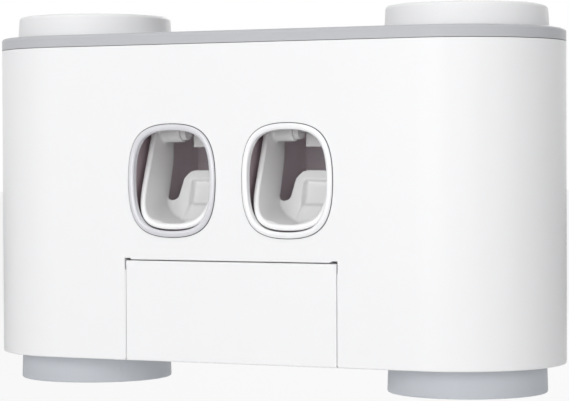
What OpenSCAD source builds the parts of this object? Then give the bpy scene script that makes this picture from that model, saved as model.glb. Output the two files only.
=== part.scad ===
// Wall-hung toothpaste dispenser with two squeezers, four cups and a toothbrush compartment.
// X runs across the front, Y into the wall and Z up. The origin is the middle of the pad's back face.

/* [Body] */
// Width over the round ends
body_w = 310; // [308:1:330]
// Depth, which is also the diameter of the round ends
body_d = 108; // [106:1:112]
// Height with the top plate
body_h = 166; // [164:1:176]
// Thickness of the shell wall
wall = 2.6; // [2.4:0.1:2.8]
// Height of the edge of the top plate
plate_h = 6.1; // [5:0.1:8]
// Radius of the top plate's upper edge
plate_edge = 1.6; // [0.8:0.1:2.2]
// Shadow gap between the shell and the top plate
seam = 0.3; // [0.2:0.1:0.6]

/* [Cups] */
// Distance of a cup's axis from the end of the body
cup_inset = 49; // [48.5:0.5:50]
// Height of a cup
cup_h = 92; // [86:1:94]
// Radius of a lower cup at its rim
lower_rim_r = 40; // [38:0.5:40.5]
// Radius of an upper cup at its rim
upper_rim_r = 39.2; // [37:0.2:39.2]
// Amount by which a cup narrows from its rim to its base
cup_taper = 2.65; // [1:0.05:4]
// Thickness of a cup's wall
cup_t = 1.8; // [1.2:0.1:2.4]
// How far a lower cup hangs out below the body
cup_hang = 14.4; // [10:0.2:18]
// Radius of a lid at its rim
lid_r = 41; // [40.9:0.1:41.4]
// Height of a lid
lid_h = 11.3; // [10:0.1:14]

/* [Windows] */
// Distance of a window from the middle
window_x = 31.9; // [31:0.1:32.5]
// Height of the middle of the windows
window_z = 91.2; // [90:0.1:92]
// Width of the opening in the trim ring
window_w = 42.9; // [42:0.1:44]
// Height of the opening in the trim ring
window_h = 50.4; // [50:0.1:52]
// Corner radius of that opening
window_r = 16.55; // [14:0.05:17]
// Width of the ring
trim_w = 3.45; // [3:0.05:3.8]
// How far the ring stands out of the front
trim_proud = 1; // [0.6:0.1:1.6]

/* [Squeezers] */
// Half the width of the squeeze lever
lever_half = 19.3; // [18.6:0.1:19.6]
// Thickness of the lever's walls
lever_t = 1.9; // [1.5:0.1:2.2]
// Angle by which the scoop leans back
lever_lean = 17.1; // [15:0.1:19]
// Radius of the pivot pin
pivot_r = 1.25; // [1:0.05:1.5]
// Radius of the pump chamber
chamber_r = 6; // [5.5:0.1:6.2]
// Radius of the hole that grips the tube's neck
neck_r = 5.5; // [5:0.1:5.8]
// Turns of the return spring
spring_turns = 4; // [3:1:5]

/* [Flap] */
// Width of the flap
flap_w = 116.4; // [110:0.2:116.4]
// Height of the flap
flap_h = 50.75; // [49:0.05:51]
// Thickness of the flap
flap_t = 2.8; // [2.6:0.1:2.8]
// Gap round the flap
flap_gap = 0.8; // [0.6:0.1:1]

/* [Brush rack] */
// Distance between two brush slots
slot_pitch = 26; // [24:1:27]
// Width of a brush slot
slot_w = 8.4; // [7:0.2:10]

/* [Hidden] */

$fn = 96;
left = -1;
right = 1;

// Overlap of cutting shapes past the faces that they cut
over = 1;

// Planes of the body
front = -body_d / 2;
back = body_d / 2;
end_x = body_w / 2 - body_d / 2;
plate_z = body_h - plate_h;
shell_h = plate_z - seam;
inner_back = back - wall;
foot_edge = 0.8;

// Rim of the top plate inside the shell, with the beads that snap into grooves of the shell
rim_gap = 0.2;
rim_h = 4;
snap_r = 0.7;
snap_l = 30;
snap_x = 72;
snap_z = plate_z - rim_h + 1.3;
snap_y = inner_back - rim_gap;

// Distance of the body's back from the surface that it hangs on, and height of the wall bracket
wall_gap = 1;
mount_z = 100;

// Cup wells
cup_x = body_w / 2 - cup_inset;
well_r = 41.5;
well_t = 1.8;
base_z = 0.8;
base_t = 2.8;
base_top = base_z + base_t;
cup_base_z = cup_h - cup_hang;
well_floor_z = 79.4;
well_floor_t = 4.2;
magnet_r = 10;
magnet_t = 3;
magnet_gap = 0.4;
disc_r = 11;
disc_t = 0.8;
lid_z = body_h + 0.5;

// Back opening and its cover
panel_w = 133.2;
panel_h = 143.2;
panel_mid = 80;
panel_t = 2.2;
panel_y = back - 0.2 - panel_t;
panel_gap = 0.3;
ledge = 3;
trim_neck = 1.7;
trim_sunk = 0.6;
panel_screw_x = 62;
panel_screws_z = [18, 80, 142];

// Screws that hold the base plate
base_screws_at = [for (s = [left, right]) for (p = [[end_x, back - 5.6], [end_x, front + 5.6], [34, back - 7]])
  [s * p[0], p[1]]];
boss_r = 3.2;

// Screws of the back panel and the base plate, with the cross cut in their heads
cover_screw_r = 1.25;
cover_head_r = 2.6;
cover_hole_r = 1.5;
cover_sink_r = 2.9;
cross = [2.8, 0.6];

// Hinge of the flap
hinge_y = front + 2.1;
hinge_z = 48.9;
hinge_pin_r = 1;
hinge_pin_l = 8;
hinge_pin_in = 4.4;
flap_open_w = flap_w + 2 * flap_gap;
flap_open_h = flap_h + flap_gap;

// Squeezer planes, from the front face and from the middle of the window
pivot = [30, 25];
crossbar = [51, 27];
crossbar_r = 2.2;
frame_half = 25.5;
frame_t = 1.6;
frame_floor = -34.2;
deck_z = 38.3;
deck_t = 2;
ear_screw = [14, 45.8];
ear_y = [9, 11];
pump_y = 50.2;
duct_y = 40.75;
duct_r = 2.2;
block_half = 9;
block_y = [35.5, 59];
block_z = [36.3, 53.8];
flange_y = [18, 68];
flange_half = 22;
flange_z = deck_z + deck_t;
flange_t = 2;
pump_screw_x = 18;
pump_screws_y = [23, 63];
screw_r = 0.9;
screw_head_r = 2;
screw_head_h = 1.3;
cap_t = 2;
cap_z = block_z[1];
socket_h = 10;
socket_r = 10;
socket_bore = 6.6;
valve_sink = 1.1;
spring_r = 4.4;
spring_wire = 0.4;
spring_z = 42.8;

// Wall bracket
bracket_w = 104;
bracket_h = 34;
bracket_t = 2.4;
bracket_y = back + wall_gap - 0.6 - bracket_t;
bolt_x = 40;
bolt_z = 9;
bolt_r = 2.2;
hook_x = 36;
hook_w = 10;
hook_lip = 12;
hook_stem = 4;
lift = 12;

// Placement
module in_place() translate([0, -(back + wall_gap), -mount_z]) children();
module at_window(side) in_place() translate([side * window_x, front, window_z]) children();
module at_cup(side) in_place() translate([side * cup_x, 0, 0]) children();
module both() {
  children();
  mirror([1, 0, 0]) children();
}

// Places of a squeezer's screws, in its window's frame
module at_ear_screws() for (x = [-ear_screw[0], ear_screw[0]]) translate([x, 0, ear_screw[1]]) children();
module at_pump_screws() for (x = [-pump_screw_x, pump_screw_x]) for (y = pump_screws_y)
  translate([x, y, 0]) children();

// Profiles drawn on the XZ plane run along Y, and profiles drawn on the YZ plane run along X
module along_y(y0, y1) translate([0, y1, 0]) rotate([90, 0, 0]) linear_extrude(y1 - y0) children();
module along_x(x0, x1) translate([x0, 0, 0]) rotate([90, 0, 90]) linear_extrude(x1 - x0) children();

// Round bars along each axis
module bar_x(r, x0, x1) translate([x0, 0, 0]) rotate([0, 90, 0]) cylinder(r = r, h = x1 - x0);
module bar_y(r, y0, y1) translate([0, y1, 0]) rotate([90, 0, 0]) cylinder(r = r, h = y1 - y0);
module bar_z(r, z0, z1) translate([0, 0, z0]) cylinder(r = r, h = z1 - z0);

// Rectangle with round corners
module rounded(w, h, r) {
  for (x = [-1, 1]) for (y = [-1, 1]) translate([x * (w / 2 - r), y * (h / 2 - r)]) circle(r);
  square([w, h - 2 * r], center = true);
  square([w - 2 * r, h], center = true);
}

// Channel with round lower corners, open at the top
module channel(half, bottom, top, r) {
  for (x = [-1, 1]) translate([x * (half - r), bottom + r]) circle(r);
  translate([-half, bottom + r]) square([2 * half, top - bottom - r]);
  translate([r - half, bottom]) square([2 * (half - r), r + over]);
}

// Plan of the body, drawn in by an inset
module track(inset = 0) {
  for (x = [-1, 1]) translate([x * end_x, 0]) circle(back - inset, $fn = 144);
  square([2 * end_x, body_d - 2 * inset], center = true);
}

// Half section of a plate with a round upper edge
module edge_section(r, h, e) {
  square([r - e, h]);
  square([r, h - e]);
  translate([r - e, h - e]) circle(e);
}

// Plate on the body's plan with a round upper edge
module track_plate(h, e) {
  for (x = [-1, 1]) translate([x * end_x, 0, 0]) rotate_extrude($fn = 144) edge_section(back, h, e);
  along_x(-end_x, end_x) {
    edge_section(back, h, e);
    mirror([1, 0]) edge_section(back, h, e);
  }
}

// Sweep of a section round a rounded rectangle of outer size w by h, where the section's X runs from the
// inner edge outwards and its Y stands out of the plane
module frame_sweep(w, h, r, band) {
  for (x = [-1, 1]) for (y = [-1, 1]) translate([x * (w / 2 - r), y * (h / 2 - r), 0])
    rotate([0, 0, x > 0 ? (y > 0 ? 0 : 270) : (y > 0 ? 90 : 180)])
      rotate_extrude(angle = 90) translate([r - band, 0]) children();
  for (a = [0, 180]) rotate([0, 0, a]) translate([w / 2 - band, h / 2 - r, 0])
    rotate([90, 0, 0]) linear_extrude(h - 2 * r) children();
  for (a = [90, 270]) rotate([0, 0, a]) translate([h / 2 - band, w / 2 - r, 0])
    rotate([90, 0, 0]) linear_extrude(w - 2 * r) children();
}

// Beads round which the top plate snaps into the shell, grown by a gap for the grooves
module snap_beads(gap = 0) for (x = [-snap_x, snap_x]) for (y = [-snap_y, snap_y])
  translate([0, y, snap_z]) bar_x(snap_r + gap, x - snap_l / 2 - gap, x + snap_l / 2 + gap);

// Places of the bosses for the screws through the ears of the squeezer frames
module at_ears() for (s = [left, right]) translate([s * window_x, 0, window_z]) at_ear_screws() children();

// Places of the back panel's screws
module at_panel_screws() for (x = [-panel_screw_x, panel_screw_x]) for (z = panel_screws_z)
  translate([x, 0, z]) children();

// Places of the base plate's screws
module at_base_screws() for (p = base_screws_at) translate([p[0], p[1], 0]) children();

// Rounded rectangle of a window, grown by a margin
module window_outline(grow) rounded(window_w + 2 * grow, window_h + 2 * grow, window_r + grow);

// Shell: the track-shaped wall with its openings, the ledge for the back panel and its screw bosses
module outer_shell() color("white") in_place() difference() {
  rebate_gap = 0.2;
  neck_grow = trim_w - trim_neck + 0.1;
  ledge_w = panel_w + 2 * panel_gap - 2 * ledge;
  ledge_h = panel_h + 2 * panel_gap - 2 * ledge;
  ledge_y = panel_y - 2.4;
  ledge_grow = 8;
  rib_x = 78;
  rib = [1.6, 4, 130];
  rib_z = 14;
  ear_boss_r = 3;
  ear_boss_end = front + 9;
  pilot_r = 1.3;
  boss_h = 8;
  hinge_block = [4.5, 5.1, 5.6];
  relief_w = 3.4;
  corner = 4;
  union() {
    difference() {
      translate([0, 0, shell_h]) mirror([0, 0, 1]) track_plate(shell_h, foot_edge);
      translate([0, 0, -over]) linear_extrude(shell_h + 2 * over) track(wall);
    }
    translate([0, 0, panel_mid]) along_y(ledge_y, inner_back + 0.5)
      rounded(panel_w + ledge_grow, panel_h + ledge_grow, corner);
    at_panel_screws() bar_y(boss_r, panel_y - 10, panel_y);
    at_base_screws() bar_z(boss_r, base_top, base_top + boss_h);
    at_ears() bar_y(ear_boss_r, front + wall / 2, ear_boss_end);
    both() translate([flap_open_w / 2, front + wall / 2, hinge_z - hinge_block[2] / 2 - 0.1])
      cube(hinge_block - [0, wall / 2, 0]);
    for (x = [-rib_x, rib_x]) for (y = [front + wall / 2, inner_back + wall / 2 - rib[1]])
      translate([x - rib[0] / 2, y, rib_z]) cube(rib);
  }
  // windows with the shallow rebate that seats the trim rings
  for (s = [left, right]) translate([s * window_x, 0, window_z]) {
    along_y(front - over, front + wall + over) window_outline(neck_grow);
    along_y(front - over, front + trim_sunk) window_outline(trim_w + rebate_gap);
  }
  // flap opening, relieved at its upper corners, and the holes for the hinge pins
  translate([-flap_open_w / 2, front - over, -over]) cube([flap_open_w, wall + 2 * over, flap_open_h + over]);
  both() translate([flap_open_w / 2 - relief_w, front - over, 0])
    cube([relief_w, wall + 1.5 * over, flap_open_h + 0.5]);
  both() translate([0, hinge_y, hinge_z])
    bar_x(hinge_pin_r + 0.05, flap_open_w / 2 - over, flap_open_w / 2 + hinge_pin_l - hinge_pin_in);
  // back opening, with a ledge that is cut clear between its bosses
  translate([0, 0, panel_mid]) along_y(panel_y, back + over)
    rounded(panel_w + 2 * panel_gap, panel_h + 2 * panel_gap, corner + panel_gap);
  translate([0, 0, panel_mid]) along_y(ledge_y - 0.6, back + over) difference() {
    rounded(ledge_w, ledge_h, corner - 1);
    for (x = [-panel_screw_x, panel_screw_x]) for (z = panel_screws_z)
      translate([x, z - panel_mid]) circle(boss_r);
    for (p = base_screws_at) translate([p[0], base_top + boss_h / 2 - panel_mid])
      square([2 * boss_r, boss_h], center = true);
  }
  // pilot holes
  at_panel_screws() bar_y(pilot_r, panel_y - 9, panel_y + over);
  at_base_screws() bar_z(pilot_r, base_top - over, base_top + boss_h - 1);
  at_ears() bar_y(screw_r + 0.05, front + 3.5, ear_boss_end + over);
  snap_beads(0.1);
}

// Size and place of the slots that let the toothpaste tubes stand in the body
tube_slot = [52, 44];
tube_slot_r = 12;

// Top plate: a shallow tray turned over, with a rim that drops inside the shell
module top_plate() color("darkgray") in_place() translate([0, 0, plate_z]) difference() {
  skin = 2.4;
  rim_t = 1.8;
  collar = 2.2;
  inset = wall + rim_gap + rim_t;
  union() {
    difference() {
      track_plate(plate_h, plate_edge);
      translate([0, 0, -over]) linear_extrude(plate_h - skin + over) track(inset);
    }
    translate([0, 0, -rim_h]) linear_extrude(rim_h + over) difference() {
      track(wall + rim_gap);
      track(inset);
    }
    translate([0, 0, -plate_z]) snap_beads();
    for (s = [left, right]) {
      translate([s * cup_x, 0, 0]) linear_extrude(plate_h - skin + over) intersection() {
        circle(well_r + collar, $fn = 144);
        translate([-s * cup_x, 0]) track(wall);
      }
      translate([s * window_x, front + pump_y, 0]) linear_extrude(plate_h - skin + over)
        rounded(tube_slot[0] + 2 * collar, tube_slot[1] + 2 * collar, tube_slot_r + collar);
    }
  }
  for (s = [left, right]) {
    translate([s * cup_x, 0, 0]) bar_z(well_r, -over, plate_h + over);
    translate([s * window_x, front + pump_y, -over]) linear_extrude(plate_h + 2 * over)
      rounded(tube_slot[0], tube_slot[1], tube_slot_r);
  }
}

// Base plate: closes the body below, with the holes for the lower cups and slots for the brush handles
module base_plate() color("white") in_place() difference() {
  edge_gap = 0.2;
  flap_clear = [0.6, 3.5];
  handle_w = slot_w + 2.6;
  handle_l = 40;
  lip = 1.6;
  translate([0, 0, base_z]) linear_extrude(base_t) difference() {
    track(wall + edge_gap);
    translate([-flap_open_w / 2 - flap_clear[0], front - over])
      square([flap_open_w + 2 * flap_clear[0], flap_clear[1] + over]);
  }
  for (s = [left, right]) translate([s * cup_x, 0, 0]) bar_z(well_r + 0.2, base_z - over, base_top + over);
  for (i = [-1.5:1:1.5]) translate([i * slot_pitch, front + handle_l - handle_w / 2, base_z - over])
    linear_extrude(base_t + 2 * over) {
      circle(handle_w / 2);
      translate([-handle_w / 2, -handle_l]) square([handle_w, handle_l]);
    }
  at_base_screws() {
    bar_z(cover_hole_r, base_z - over, base_top + over);
    bar_z(cover_sink_r, base_z - over, base_z + lip);
  }
}

// Screws of the base plate, in their counterbores
module base_screws() color("silver") in_place() at_base_screws() difference() {
  head = 1.3;
  sunk = 0.3;
  union() {
    bar_z(cover_screw_r, base_z + sunk, base_top + 6);
    bar_z(cover_head_r, base_z + sunk, base_z + sunk + head);
  }
  translate([0, 0, base_z]) for (a = [0, 90]) rotate([0, 0, a])
    cube([cross[0], cross[1], 2 * sunk + 1], center = true);
}

// Back panel: cover with a pocket for the wall bracket and two slots for its hooks
module back_panel() color("whitesmoke") in_place() difference() {
  floor_t = 2.2;
  floor_y = bracket_y - 0.2 - floor_t;
  floor_rim = 4;
  pocket_w = bracket_w + 2.5;
  pocket_top = mount_z + bracket_h / 2 + 0.6;
  pocket_bottom = mount_z - bracket_h / 2 - lift - 1;
  pocket_mid = (pocket_top + pocket_bottom) / 2;
  pocket_h = pocket_top - pocket_bottom;
  slot_side = 0.3;
  slot_top = mount_z + 0.15;
  slot_bottom = mount_z - hook_stem - lift - 0.5;
  corner = 4;
  rib_t = 1.6;
  ribs_x = [-24, 24];
  ribs_z = [20, 64];
  cross_rib = [100, 2];
  tall_rib = [3, 44];
  union() {
    translate([0, 0, panel_mid]) along_y(panel_y, panel_y + panel_t) rounded(panel_w, panel_h, corner);
    translate([0, 0, pocket_mid]) along_y(floor_y, panel_y + 1)
      rounded(pocket_w + floor_rim, pocket_h + floor_rim, corner + 1);
    for (x = ribs_x) translate([x - rib_t / 2, panel_y - tall_rib[0], ribs_z[0]])
      cube([rib_t, tall_rib[0] + over, tall_rib[1]]);
    for (z = ribs_z) translate([-cross_rib[0] / 2, panel_y - cross_rib[1], z])
      cube([cross_rib[0], cross_rib[1] + over, rib_t]);
  }
  translate([0, 0, pocket_mid]) along_y(floor_y + floor_t, back + over) rounded(pocket_w, pocket_h, corner - 1);
  for (x = [-hook_x, hook_x]) translate([x - hook_w / 2 - slot_side, floor_y - over, slot_bottom])
    cube([hook_w + 2 * slot_side, floor_t + 2 * over, slot_top - slot_bottom]);
  at_panel_screws() {
    bar_y(cover_hole_r, panel_y - over, back + over);
    bar_y(cover_sink_r, panel_y + 0.8, back + over);
  }
}

// Screws of the back panel, in their counterbores
module back_panel_screws() color("silver") in_place() at_panel_screws() difference() {
  head_y = [panel_y + 0.8, panel_y + 2];
  union() {
    bar_y(cover_screw_r, panel_y - 7, head_y[0] + 0.2);
    bar_y(cover_head_r, head_y[0], head_y[1]);
  }
  translate([0, head_y[1], 0]) for (a = [0, 90]) rotate([0, a, 0])
    cube([cross[0], 1.4, cross[1]], center = true);
}

// Ring round a window: a domed flange on a short neck
module window_trim() color("gainsboro") translate([0, trim_sunk, 0]) rotate([90, 0, 0])
  frame_sweep(window_w + 2 * trim_w, window_h + 2 * trim_w, window_r + trim_w, trim_w) {
    crown = trim_proud + trim_sunk;
    dome_r = 2.2;
    neck = [0.8, 1.4];
    intersection() {
      square([trim_w, crown]);
      translate([trim_w / 2, crown - dome_r]) circle(dome_r);
    }
    translate([trim_w - trim_neck - neck[0], 0.4 - neck[1]]) square(neck);
  }

// Chamber behind a window, open to the front, with a deck that carries the pump
module squeezer_frame() color("rosybrown") difference() {
  depth = [4.7, 78];
  corner = 18;
  floor_t = 1.4;
  top = deck_z + deck_t;
  cut_y = [24, 60];
  cut_half = 15;
  ear_half = 18;
  ear_top = 49.8;
  ear_r = 3;
  gusset_x = 8;
  gusset_t = 1.6;
  gusset_l = 6;
  post_r = 2.6;
  post_h = 4;
  rib_x = 8;
  rib = [1.2, 1.2];
  union() {
    difference() {
      along_y(depth[0], depth[1]) channel(frame_half, frame_floor, top, corner);
      along_y(depth[0] - over, depth[1] - frame_t)
        channel(frame_half - frame_t, frame_floor + floor_t, deck_z, corner - frame_t);
    }
    along_y(ear_y[0], ear_y[1]) {
      translate([-ear_half, top - 1]) square([2 * ear_half, ear_top - ear_r - top + 1]);
      translate([ear_r - ear_half, top]) square([2 * (ear_half - ear_r), ear_top - top]);
      for (x = [-1, 1]) translate([x * (ear_half - ear_r), ear_top - ear_r]) circle(ear_r);
    }
    for (x = [-gusset_x, gusset_x]) translate([x, ear_y[1], top]) along_x(-gusset_t / 2, gusset_t / 2)
      polygon([[-0.5, -1], [-0.5, gusset_l], [gusset_l, -1]]);
    for (x = [-rib_x, rib_x]) along_y(depth[0] + 4, depth[1] - 4)
      translate([x - rib[0] / 2, frame_floor - rib[1]]) square([rib[0], rib[1] + floor_t / 2]);
    at_pump_screws() bar_z(post_r, deck_z - post_h, top);
  }
  translate([-cut_half, cut_y[0], deck_z - post_h - over])
    cube([2 * cut_half, cut_y[1] - cut_y[0], deck_t + post_h + 2 * over]);
  at_ear_screws() bar_y(screw_r + 0.2, ear_y[0] - over, ear_y[1] + over);
  at_pump_screws() bar_z(screw_r + 0.05, deck_z - post_h - over, top + over);
}

// Screws through the ear of a squeezer frame
module frame_screws() color("silver") at_ear_screws() {
  bar_y(screw_r, ear_y[0] - 4.5, ear_y[1]);
  bar_y(screw_head_r, ear_y[1], ear_y[1] + screw_head_h);
}

// Lines of the lever's side outline: the front edge and the outer face of the back wall
lean = tan(lever_lean);
lever_bottom = -24.7;
lever_lip = 8;
rear_foot = [32, -8];
function lever_front(z) = 1.9 + lean * (z + 7.3);
function lever_rear(z) = rear_foot[0] + lean * (z - rear_foot[1]);
lip_z = lever_bottom + lever_lip;
lip_y = lever_front(lip_z) + lever_lip / cos(lever_lean);
lip_end = [lip_y - lever_lip * cos(lever_lean), lip_z + lever_lip * sin(lever_lean)];

// Outline of a lever's side wall, with the pivot and the link to the crossbar
module lever_side() {
  shoulder = 24;
  eye = 6.4;
  toe = 3.6;
  translate([lip_y, lip_z]) circle(lever_lip);
  polygon([
    [lip_y, lever_bottom],
    [lever_rear(lever_bottom), lever_bottom],
    [lever_rear(shoulder - 3), shoulder - 3],
    [crossbar[0], crossbar[1] - toe],
    [crossbar[0], crossbar[1] + toe],
    [pivot[0], pivot[1] + eye],
    [pivot[0] - 3, pivot[1] + eye - 0.8],
    [lever_front(shoulder), shoulder],
    lip_end
  ]);
  translate(pivot) circle(eye);
  translate(crossbar) circle(toe);
}

// Side outline of the thin-walled part behind the scoop's thick front rim
module lever_hollow(rim_d) {
  top = 60;
  far = 80;
  translate([lip_y + rim_d, lip_z]) circle(lever_lip);
  polygon([[lip_y + rim_d, lever_bottom - over], [far, lever_bottom - over], [far, top],
    [lever_front(top) + rim_d, top], lip_end + [rim_d, 0]]);
}

// Leaning plane of the back wall, with Z out of its front face
module on_back() translate([0, rear_foot[0], rear_foot[1]]) rotate([90 - lever_lean, 0, 0]) children();

// Outline of the back wall, drawn on its own leaning plane from its foot at the lever's rear line
module lever_back() {
  top = 13.4;
  bell = 11.4;
  shoulder = 7;
  notch_x = 14.9;
  notch_r = 2.6;
  notch_v = -0.3;
  foot = -20;
  difference() {
    union() {
      translate([0, top - shoulder]) {
        for (x = [-1, 1]) translate([x * (bell - shoulder), 0]) circle(shoulder);
        translate([shoulder - bell, -over]) square([2 * (bell - shoulder), shoulder + over]);
      }
      polygon([[-bell, top - shoulder], [bell, top - shoulder], [notch_x - notch_r, notch_v],
        [notch_x, notch_v - 1], [notch_x, foot], [-notch_x, foot], [-notch_x, notch_v - 1],
        [notch_r - notch_x, notch_v]]);
      translate([-lever_half, foot]) square([2 * lever_half, notch_v - foot]);
    }
    for (x = [-notch_x, notch_x]) translate([x, notch_v]) circle(notch_r);
  }
}

// Squeeze lever: a scoop with a bell-shaped back wall, hung on two arms
module squeeze_lever() color("white") difference() {
  corner = 17.7;
  reach = [-2, crossbar[0] + 6];
  top = pivot[1] + 10;
  boss_in = 8.5;
  eye_r = 5.5;
  rim_t = 3.1;
  rim_d = 2.6;
  back_t = 1.8;
  back_in = 0.2;
  pad = [8, -18, 10.4];
  pad_t = 1.2;
  pocket = [6.5, -5.1, 7.7];
  pocket_r = 1.8;
  pocket_d = 1.3;
  groove = [-14, -2];
  groove_d = 0.6;
  bar_end = 0.5;
  union() {
    difference() {
      intersection() {
        along_y(reach[0], reach[1]) channel(lever_half, lever_bottom, top, corner);
        along_x(-lever_half, lever_half) lever_side();
      }
      along_y(reach[0] - over, reach[1] + over)
        channel(lever_half - rim_t, lever_bottom + rim_t, top + over, corner - rim_t);
      intersection() {
        along_y(reach[0] - over, reach[1] + 2 * over)
          channel(lever_half - lever_t, lever_bottom + lever_t, top + over, corner - lever_t);
        along_x(-lever_half, lever_half) lever_hollow(rim_d);
      }
    }
    intersection() {
      along_y(0, crossbar[0])
        channel(lever_half - lever_t / 2, lever_bottom + lever_t / 2, pivot[1], corner - lever_t / 2);
      on_back() {
        translate([0, 0, back_in]) linear_extrude(back_t - back_in) lever_back();
        translate([-pad[0], pad[1], -pad_t]) cube([2 * pad[0], pad[2] - pad[1], pad_t + 0.8]);
      }
    }
    both() translate([0, pivot[0], pivot[1]]) bar_x(eye_r, boss_in, lever_half - lever_t / 2);
    translate([0, crossbar[0], crossbar[1]]) bar_x(crossbar_r, bar_end - lever_half, lever_half - bar_end);
  }
  translate([0, pivot[0], pivot[1]]) bar_x(pivot_r + 0.05, -lever_half - over, lever_half + over);
  // pocket that cradles the brush head, with a shallow groove below it
  on_back() {
    translate([0, (pocket[1] + pocket[2]) / 2, back_t - pocket_d])
      linear_extrude(pocket_d + over) rounded(2 * pocket[0], pocket[2] - pocket[1], pocket_r);
    translate([-pocket[0], groove[0], back_t - groove_d])
      cube([2 * pocket[0], groove[1] - groove[0], groove_d + over]);
  }
}

// Steel pin of a lever
module pivot_pin() color("silver") translate([0, pivot[0], pivot[1]]) bar_x(pivot_r, -17.5, 17.5);

// Pump body: chamber block on a flange, with the nozzle column and the lugs that hold the pivot pin
module pump_body() color("gainsboro") difference() {
  nozzle_half = 6;
  nozzle_y = [35.5, 46];
  nozzle_z = 16.9;
  mouth_r = 3.6;
  mouth_h = 5.5;
  lug = [5.6, 8.4];
  lug_r = 4.4;
  lug_top = flange_z + 0.5;
  bridge = [8, 4];
  cross_h = 2;
  hole_r = 1.1;
  edge = 2;
  union() {
    pump_block(block_z[0], block_z[1]);
    translate([0, (flange_y[0] + flange_y[1]) / 2, flange_z]) linear_extrude(flange_t)
      rounded(2 * flange_half, flange_y[1] - flange_y[0], 2 * edge);
    translate([0, (nozzle_y[0] + nozzle_y[1]) / 2, nozzle_z]) linear_extrude(block_z[0] - nozzle_z + over)
      rounded(2 * nozzle_half, nozzle_y[1] - nozzle_y[0], edge - 0.8);
    both() along_x(lug[0], lug[1]) {
      translate(pivot) circle(lug_r);
      translate([pivot[0] - lug_r, pivot[1]]) square([2 * lug_r, lug_top - pivot[1]]);
      translate([pivot[0], block_z[0] + 0.5]) square(bridge);
    }
  }
  translate([0, pump_y, 0]) bar_z(chamber_r, block_z[0] - over, block_z[1] + over);
  translate([0, duct_y, 0]) bar_z(duct_r, nozzle_z - over, block_z[1] - 0.5);
  translate([0, duct_y, 0]) bar_z(mouth_r, nozzle_z - over, nozzle_z + mouth_h);
  translate([-duct_r, duct_y - duct_r, block_z[1] - cross_h])
    cube([2 * duct_r, pump_y - duct_y, cross_h + over]);
  translate([0, pivot[0], pivot[1]]) bar_x(pivot_r + 0.01, -lug[1] - over, lug[1] + over);
  at_pump_screws() bar_z(hole_r, flange_z - over, flange_z + flange_t + over);
}

// Plan of the pump's block, between two heights
module pump_block(z0, z1) translate([0, (block_y[0] + block_y[1]) / 2, z0]) linear_extrude(z1 - z0)
  rounded(2 * block_half, block_y[1] - block_y[0], 2);

// Screws through the pump's flange
module pump_screws() color("silver") at_pump_screws() {
  bar_z(screw_r, flange_z - 4, flange_z + flange_t);
  bar_z(screw_head_r, flange_z + flange_t, flange_z + flange_t + screw_head_h);
}

// Cap of the pump, with the socket for the tube's neck
module pump_cap() color("gainsboro") difference() {
  stem_hole_r = 1.05;
  sink_r = 3.2;
  port_r = 0.7;
  port_at = 2;
  union() {
    pump_block(cap_z, cap_z + cap_t);
    translate([0, pump_y, 0]) bar_z(socket_r, cap_z, cap_z + cap_t + socket_h);
  }
  translate([0, pump_y, 0]) {
    bar_z(socket_bore, cap_z + cap_t, cap_z + cap_t + socket_h + over);
    bar_z(sink_r, cap_z + cap_t - valve_sink, cap_z + cap_t + over);
    bar_z(stem_hole_r, cap_z - over, cap_z + cap_t + over);
    for (a = [0:90:270]) rotate([0, 0, a]) translate([port_at, 0, 0])
      bar_z(port_r, cap_z - over, cap_z + cap_t + over);
  }
}

// Soft sleeve in the socket
module tube_seal() color("dimgray") translate([0, pump_y, cap_z + cap_t]) difference() {
  lip_r = 8.4;
  union() {
    bar_z(socket_bore - 0.02, 0, socket_h + 1);
    bar_z(lip_r, socket_h, socket_h + 1);
  }
  bar_z(neck_r, -over, socket_h + 2);
}

// Umbrella valve under the cap, with its knob sunk in the cap's floor
module inlet_valve() color("dimgray") translate([0, pump_y, cap_z]) {
  umbrella = [2.9, 0.8];
  lift_gap = 0.05;
  stem_r = 1;
  knob = [1.24, 0.8];
  floor_t = cap_t - valve_sink;
  bar_z(umbrella[0], -umbrella[1], -lift_gap);
  bar_z(stem_r, -umbrella[1] / 2, floor_t + knob[1]);
  bar_z(knob[0], floor_t, floor_t + knob[1]);
}

// Duckbill valve in the nozzle's mouth
module outlet_valve() color("dimgray") translate([0, duct_y, 22.4]) difference() {
  flange = [3.55, 1.4];
  bill_l = 4.6;
  bore_r = 1.2;
  slit = [2.6, 0.2, 2];
  union() {
    bar_z(flange[0], -flange[1], 0);
    translate([0, 0, -bill_l]) cylinder(r1 = 1.7, r2 = 2.5, h = bill_l - 1);
  }
  bar_z(bore_r, 1 - bill_l, over);
  translate([-slit[0] / 2, -slit[1] / 2, 1.6 - bill_l - slit[2]]) cube(slit);
}

// Piston: a foot on the crossbar, a stem and a grooved head
module piston() color("whitesmoke") translate([0, pump_y, 0]) difference() {
  foot = [4.2, 2];
  foot_z = crossbar[1] + crossbar_r + 0.3;
  stem_r = 2.2;
  head_h = 5.8;
  groove = [spring_z - 4, spring_z - 2];
  groove_d = 1.1;
  union() {
    bar_z(foot[0], foot_z, foot_z + foot[1]);
    bar_z(stem_r, foot_z + 1, spring_z - 2);
    bar_z(chamber_r - 0.05, spring_z - head_h, spring_z);
  }
  difference() {
    bar_z(chamber_r + over, groove[0], groove[1]);
    bar_z(chamber_r - groove_d, groove[0] - over, groove[1] + over);
  }
}

// Ring in the groove of the piston
module piston_seal() color("dimgray") translate([0, pump_y, spring_z - 3]) rotate_extrude() {
  inner = chamber_r - 1.05;
  outer = chamber_r - 0.03;
  bead = 0.5;
  heel = [0.4, 1.9];
  translate([inner, -bead]) square([outer - inner - bead, 2 * bead]);
  translate([inner, -heel[1] / 2]) square(heel);
  translate([outer - bead, 0]) circle(bead);
}

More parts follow.
